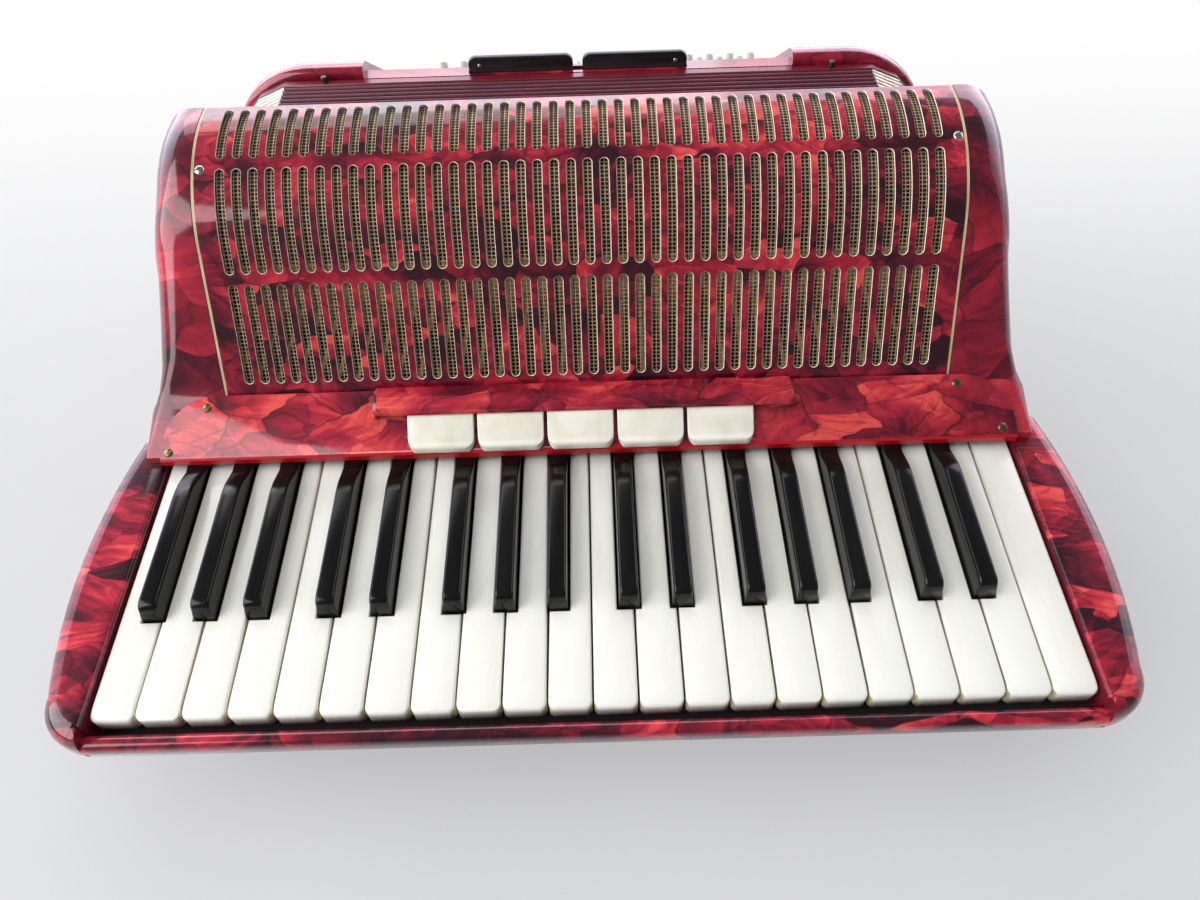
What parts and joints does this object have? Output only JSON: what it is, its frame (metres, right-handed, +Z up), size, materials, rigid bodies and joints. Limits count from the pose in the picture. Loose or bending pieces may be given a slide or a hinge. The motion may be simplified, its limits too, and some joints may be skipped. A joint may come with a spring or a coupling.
{
  "type": "piano accordion",
  "caption": "Piano accordion lying on its back: keyboard with sprung keys, slotted grille, register switches, bellows that draw out, bass button board and hand strap.",
  "frame": {"origin": "middle of the instrument's footprint, on the table it lies on", "axes": "+X along the keyboard towards its right end in the picture, +Y from the keyboard to the bass side, +Z up from the table"},
  "size_m": [0.488, 0.4254, 0.1971],
  "materials": {
    "red pearloid": "glossy red pearloid celluloid",
    "steel rod": "drawn steel",
    "gilt mesh": "aged gilt wire cloth",
    "reed block wood": "plain planed wood",
    "bellows cloth": "maroon cloth over card",
    "bellows frame": "covered wooden frame",
    "cream plastic": "cream plastic",
    "strap leather": "black leather",
    "black plastic": "satin black",
    "nickel": "nickel plate",
    "ivory plastic": "ivory key plastic",
    "ebony plastic": "polished black key plastic"
  },
  "bodies": {
    "treble": {"treble_casing": "red pearloid", "keyboard_frame": "red pearloid", "key_axle": "steel rod", "key_cover": "red pearloid", "register_axle": "steel rod", "grille": "red pearloid", "grille_mesh": "gilt mesh", "treble_reed_block": "reed block wood", "bellows": "bellows cloth"},
    "bass": {"bellows_frame": "bellows frame", "bass_casing": "red pearloid", "bass_button_board": "cream plastic", "bass_reed_block": "reed block wood", "bass_strap": "strap leather"},
    "white_key_01": {"white_key_01": "ivory plastic"},
    "white_key_02": {"white_key_02": "ivory plastic"},
    "white_key_03": {"white_key_03": "ivory plastic"},
    "white_key_04": {"white_key_04": "ivory plastic"},
    "white_key_05": {"white_key_05": "ivory plastic"},
    "white_key_06": {"white_key_06": "ivory plastic"},
    "white_key_07": {"white_key_07": "ivory plastic"},
    "white_key_08": {"white_key_08": "ivory plastic"},
    "white_key_09": {"white_key_09": "ivory plastic"},
    "white_key_10": {"white_key_10": "ivory plastic"},
    "white_key_11": {"white_key_11": "ivory plastic"},
    "white_key_12": {"white_key_12": "ivory plastic"},
    "white_key_13": {"white_key_13": "ivory plastic"},
    "white_key_14": {"white_key_14": "ivory plastic"},
    "white_key_15": {"white_key_15": "ivory plastic"},
    "white_key_16": {"white_key_16": "ivory plastic"},
    "white_key_17": {"white_key_17": "ivory plastic"},
    "white_key_18": {"white_key_18": "ivory plastic"},
    "white_key_19": {"white_key_19": "ivory plastic"},
    "white_key_20": {"white_key_20": "ivory plastic"},
    "white_key_21": {"white_key_21": "ivory plastic"},
    "white_key_22": {"white_key_22": "ivory plastic"},
    "black_key_01": {"black_key_01": "ebony plastic"},
    "black_key_02": {"black_key_02": "ebony plastic"},
    "black_key_03": {"black_key_03": "ebony plastic"},
    "black_key_04": {"black_key_04": "ebony plastic"},
    "black_key_05": {"black_key_05": "ebony plastic"},
    "black_key_06": {"black_key_06": "ebony plastic"},
    "black_key_07": {"black_key_07": "ebony plastic"},
    "black_key_08": {"black_key_08": "ebony plastic"},
    "black_key_09": {"black_key_09": "ebony plastic"},
    "black_key_10": {"black_key_10": "ebony plastic"},
    "black_key_11": {"black_key_11": "ebony plastic"},
    "black_key_12": {"black_key_12": "ebony plastic"},
    "black_key_13": {"black_key_13": "ebony plastic"},
    "black_key_14": {"black_key_14": "ebony plastic"},
    "black_key_15": {"black_key_15": "ebony plastic"},
    "register_switch_1": {"register_switch_1": "cream plastic"},
    "register_switch_2": {"register_switch_2": "cream plastic"},
    "register_switch_3": {"register_switch_3": "cream plastic"},
    "register_switch_4": {"register_switch_4": "cream plastic"},
    "register_switch_5": {"register_switch_5": "cream plastic"},
    "bass_register_left": {"bass_register_left": "black plastic"},
    "bass_register_right": {"bass_register_right": "black plastic"},
    "strap_wheel": {"strap_wheel": "nickel"},
    "air_button": {"air_button": "nickel"}
  },
  "joints": [
    {"name": "white_key_01_pivot", "type": "hinge", "parent": "treble", "child": "white_key_01", "pos_m": [-0.20475, -0.04719, 0.069], "axis": [1, 0, 0], "range_deg": [0, 1.4], "stiffness_Nm_per_rad": 1.2, "springref_deg": -6.88},
    {"name": "white_key_02_pivot", "type": "hinge", "parent": "treble", "child": "white_key_02", "pos_m": [-0.18525, -0.04719, 0.069], "axis": [1, 0, 0], "range_deg": [0, 1.4], "stiffness_Nm_per_rad": 1.2, "springref_deg": -6.88},
    {"name": "white_key_03_pivot", "type": "hinge", "parent": "treble", "child": "white_key_03", "pos_m": [-0.16575, -0.04719, 0.069], "axis": [1, 0, 0], "range_deg": [0, 1.4], "stiffness_Nm_per_rad": 1.2, "springref_deg": -6.88},
    {"name": "white_key_04_pivot", "type": "hinge", "parent": "treble", "child": "white_key_04", "pos_m": [-0.14625, -0.04719, 0.069], "axis": [1, 0, 0], "range_deg": [0, 1.4], "stiffness_Nm_per_rad": 1.2, "springref_deg": -6.88},
    {"name": "white_key_05_pivot", "type": "hinge", "parent": "treble", "child": "white_key_05", "pos_m": [-0.12675, -0.04719, 0.069], "axis": [1, 0, 0], "range_deg": [0, 1.4], "stiffness_Nm_per_rad": 1.2, "springref_deg": -6.88},
    {"name": "white_key_06_pivot", "type": "hinge", "parent": "treble", "child": "white_key_06", "pos_m": [-0.10725, -0.04719, 0.069], "axis": [1, 0, 0], "range_deg": [0, 1.4], "stiffness_Nm_per_rad": 1.2, "springref_deg": -6.88},
    {"name": "white_key_07_pivot", "type": "hinge", "parent": "treble", "child": "white_key_07", "pos_m": [-0.08775, -0.04719, 0.069], "axis": [1, 0, 0], "range_deg": [0, 1.4], "stiffness_Nm_per_rad": 1.2, "springref_deg": -6.88},
    {"name": "white_key_08_pivot", "type": "hinge", "parent": "treble", "child": "white_key_08", "pos_m": [-0.06825, -0.04719, 0.069], "axis": [1, 0, 0], "range_deg": [0, 1.4], "stiffness_Nm_per_rad": 1.2, "springref_deg": -6.88},
    {"name": "white_key_09_pivot", "type": "hinge", "parent": "treble", "child": "white_key_09", "pos_m": [-0.04875, -0.04719, 0.069], "axis": [1, 0, 0], "range_deg": [0, 1.4], "stiffness_Nm_per_rad": 1.2, "springref_deg": -6.88},
    {"name": "white_key_10_pivot", "type": "hinge", "parent": "treble", "child": "white_key_10", "pos_m": [-0.02925, -0.04719, 0.069], "axis": [1, 0, 0], "range_deg": [0, 1.4], "stiffness_Nm_per_rad": 1.2, "springref_deg": -6.88},
    {"name": "white_key_11_pivot", "type": "hinge", "parent": "treble", "child": "white_key_11", "pos_m": [-0.00975, -0.04719, 0.069], "axis": [1, 0, 0], "range_deg": [0, 1.4], "stiffness_Nm_per_rad": 1.2, "springref_deg": -6.88},
    {"name": "white_key_12_pivot", "type": "hinge", "parent": "treble", "child": "white_key_12", "pos_m": [0.00975, -0.04719, 0.069], "axis": [1, 0, 0], "range_deg": [0, 1.4], "stiffness_Nm_per_rad": 1.2, "springref_deg": -6.88},
    {"name": "white_key_13_pivot", "type": "hinge", "parent": "treble", "child": "white_key_13", "pos_m": [0.02925, -0.04719, 0.069], "axis": [1, 0, 0], "range_deg": [0, 1.4], "stiffness_Nm_per_rad": 1.2, "springref_deg": -6.88},
    {"name": "white_key_14_pivot", "type": "hinge", "parent": "treble", "child": "white_key_14", "pos_m": [0.04875, -0.04719, 0.069], "axis": [1, 0, 0], "range_deg": [0, 1.4], "stiffness_Nm_per_rad": 1.2, "springref_deg": -6.88},
    {"name": "white_key_15_pivot", "type": "hinge", "parent": "treble", "child": "white_key_15", "pos_m": [0.06825, -0.04719, 0.069], "axis": [1, 0, 0], "range_deg": [0, 1.4], "stiffness_Nm_per_rad": 1.2, "springref_deg": -6.88},
    {"name": "white_key_16_pivot", "type": "hinge", "parent": "treble", "child": "white_key_16", "pos_m": [0.08775, -0.04719, 0.069], "axis": [1, 0, 0], "range_deg": [0, 1.4], "stiffness_Nm_per_rad": 1.2, "springref_deg": -6.88},
    {"name": "white_key_17_pivot", "type": "hinge", "parent": "treble", "child": "white_key_17", "pos_m": [0.10725, -0.04719, 0.069], "axis": [1, 0, 0], "range_deg": [0, 1.4], "stiffness_Nm_per_rad": 1.2, "springref_deg": -6.88},
    {"name": "white_key_18_pivot", "type": "hinge", "parent": "treble", "child": "white_key_18", "pos_m": [0.12675, -0.04719, 0.069], "axis": [1, 0, 0], "range_deg": [0, 1.4], "stiffness_Nm_per_rad": 1.2, "springref_deg": -6.88},
    {"name": "white_key_19_pivot", "type": "hinge", "parent": "treble", "child": "white_key_19", "pos_m": [0.14625, -0.04719, 0.069], "axis": [1, 0, 0], "range_deg": [0, 1.4], "stiffness_Nm_per_rad": 1.2, "springref_deg": -6.88},
    {"name": "white_key_20_pivot", "type": "hinge", "parent": "treble", "child": "white_key_20", "pos_m": [0.16575, -0.04719, 0.069], "axis": [1, 0, 0], "range_deg": [0, 1.4], "stiffness_Nm_per_rad": 1.2, "springref_deg": -6.88},
    {"name": "white_key_21_pivot", "type": "hinge", "parent": "treble", "child": "white_key_21", "pos_m": [0.18525, -0.04719, 0.069], "axis": [1, 0, 0], "range_deg": [0, 1.4], "stiffness_Nm_per_rad": 1.2, "springref_deg": -6.88},
    {"name": "white_key_22_pivot", "type": "hinge", "parent": "treble", "child": "white_key_22", "pos_m": [0.20475, -0.04719, 0.069], "axis": [1, 0, 0], "range_deg": [0, 1.4], "stiffness_Nm_per_rad": 1.2, "springref_deg": -6.88},
    {"name": "black_key_01_pivot", "type": "hinge", "parent": "treble", "child": "black_key_01", "pos_m": [-0.199, -0.04719, 0.069], "axis": [1, 0, 0], "range_deg": [0, 1.4], "stiffness_Nm_per_rad": 1.2, "springref_deg": -6.88},
    {"name": "black_key_02_pivot", "type": "hinge", "parent": "treble", "child": "black_key_02", "pos_m": [-0.1755, -0.04719, 0.069], "axis": [1, 0, 0], "range_deg": [0, 1.4], "stiffness_Nm_per_rad": 1.2, "springref_deg": -6.88},
    {"name": "black_key_03_pivot", "type": "hinge", "parent": "treble", "child": "black_key_03", "pos_m": [-0.1518, -0.04719, 0.069], "axis": [1, 0, 0], "range_deg": [0, 1.4], "stiffness_Nm_per_rad": 1.2, "springref_deg": -6.88},
    {"name": "black_key_04_pivot", "type": "hinge", "parent": "treble", "child": "black_key_04", "pos_m": [-0.1194, -0.04719, 0.069], "axis": [1, 0, 0], "range_deg": [0, 1.4], "stiffness_Nm_per_rad": 1.2, "springref_deg": -6.88},
    {"name": "black_key_05_pivot", "type": "hinge", "parent": "treble", "child": "black_key_05", "pos_m": [-0.0952, -0.04719, 0.069], "axis": [1, 0, 0], "range_deg": [0, 1.4], "stiffness_Nm_per_rad": 1.2, "springref_deg": -6.88},
    {"name": "black_key_06_pivot", "type": "hinge", "parent": "treble", "child": "black_key_06", "pos_m": [-0.0625, -0.04719, 0.069], "axis": [1, 0, 0], "range_deg": [0, 1.4], "stiffness_Nm_per_rad": 1.2, "springref_deg": -6.88},
    {"name": "black_key_07_pivot", "type": "hinge", "parent": "treble", "child": "black_key_07", "pos_m": [-0.039, -0.04719, 0.069], "axis": [1, 0, 0], "range_deg": [0, 1.4], "stiffness_Nm_per_rad": 1.2, "springref_deg": -6.88},
    {"name": "black_key_08_pivot", "type": "hinge", "parent": "treble", "child": "black_key_08", "pos_m": [-0.0153, -0.04719, 0.069], "axis": [1, 0, 0], "range_deg": [0, 1.4], "stiffness_Nm_per_rad": 1.2, "springref_deg": -6.88},
    {"name": "black_key_09_pivot", "type": "hinge", "parent": "treble", "child": "black_key_09", "pos_m": [0.0171, -0.04719, 0.069], "axis": [1, 0, 0], "range_deg": [0, 1.4], "stiffness_Nm_per_rad": 1.2, "springref_deg": -6.88},
    {"name": "black_key_10_pivot", "type": "hinge", "parent": "treble", "child": "black_key_10", "pos_m": [0.0413, -0.04719, 0.069], "axis": [1, 0, 0], "range_deg": [0, 1.4], "stiffness_Nm_per_rad": 1.2, "springref_deg": -6.88},
    {"name": "black_key_11_pivot", "type": "hinge", "parent": "treble", "child": "black_key_11", "pos_m": [0.074, -0.04719, 0.069], "axis": [1, 0, 0], "range_deg": [0, 1.4], "stiffness_Nm_per_rad": 1.2, "springref_deg": -6.88},
    {"name": "black_key_12_pivot", "type": "hinge", "parent": "treble", "child": "black_key_12", "pos_m": [0.0975, -0.04719, 0.069], "axis": [1, 0, 0], "range_deg": [0, 1.4], "stiffness_Nm_per_rad": 1.2, "springref_deg": -6.88},
    {"name": "black_key_13_pivot", "type": "hinge", "parent": "treble", "child": "black_key_13", "pos_m": [0.1212, -0.04719, 0.069], "axis": [1, 0, 0], "range_deg": [0, 1.4], "stiffness_Nm_per_rad": 1.2, "springref_deg": -6.88},
    {"name": "black_key_14_pivot", "type": "hinge", "parent": "treble", "child": "black_key_14", "pos_m": [0.1536, -0.04719, 0.069], "axis": [1, 0, 0], "range_deg": [0, 1.4], "stiffness_Nm_per_rad": 1.2, "springref_deg": -6.88},
    {"name": "black_key_15_pivot", "type": "hinge", "parent": "treble", "child": "black_key_15", "pos_m": [0.1778, -0.04719, 0.069], "axis": [1, 0, 0], "range_deg": [0, 1.4], "stiffness_Nm_per_rad": 1.2, "springref_deg": -6.88},
    {"name": "register_switch_1_pivot", "type": "hinge", "parent": "treble", "child": "register_switch_1", "pos_m": [-0.0735, -0.05219, 0.09821], "axis": [1, 0, 0], "range_deg": [-4, 0]},
    {"name": "register_switch_2_pivot", "type": "hinge", "parent": "treble", "child": "register_switch_2", "pos_m": [-0.0385, -0.05219, 0.09821], "axis": [1, 0, 0], "range_deg": [-4, 0]},
    {"name": "register_switch_3_pivot", "type": "hinge", "parent": "treble", "child": "register_switch_3", "pos_m": [-0.0035, -0.05219, 0.09821], "axis": [1, 0, 0], "range_deg": [0, 4]},
    {"name": "register_switch_4_pivot", "type": "hinge", "parent": "treble", "child": "register_switch_4", "pos_m": [0.0315, -0.05219, 0.09821], "axis": [1, 0, 0], "range_deg": [-4, 0]},
    {"name": "register_switch_5_pivot", "type": "hinge", "parent": "treble", "child": "register_switch_5", "pos_m": [0.0665, -0.05219, 0.09821], "axis": [1, 0, 0], "range_deg": [-4, 0]},
    {"name": "bellows_slide", "type": "slide", "parent": "treble", "child": "bass", "axis": [0, 1, 0], "range_m": [0, 0.3], "deforming": ["bellows"]},
    {"name": "bass_register_left_pivot", "type": "hinge", "parent": "bass", "child": "bass_register_left", "pos_m": [-0.03, 0.10339, 0.18805], "axis": [1, 0, 0], "range_deg": [0, 12]},
    {"name": "bass_register_right_pivot", "type": "hinge", "parent": "bass", "child": "bass_register_right", "pos_m": [0.03, 0.10339, 0.18805], "axis": [1, 0, 0], "range_deg": [0, 12]},
    {"name": "strap_wheel_spin", "type": "hinge", "parent": "bass", "child": "strap_wheel", "pos_m": [-0.1664, 0.17839, 0.056], "axis": [1, 0, 0], "continuous": true},
    {"name": "air_button_push", "type": "slide", "parent": "bass", "child": "air_button", "axis": [0, -1, 0], "range_m": [0, 0.0035], "stiffness_N_per_m": 200, "springref_m": -0.002}
  ]
}
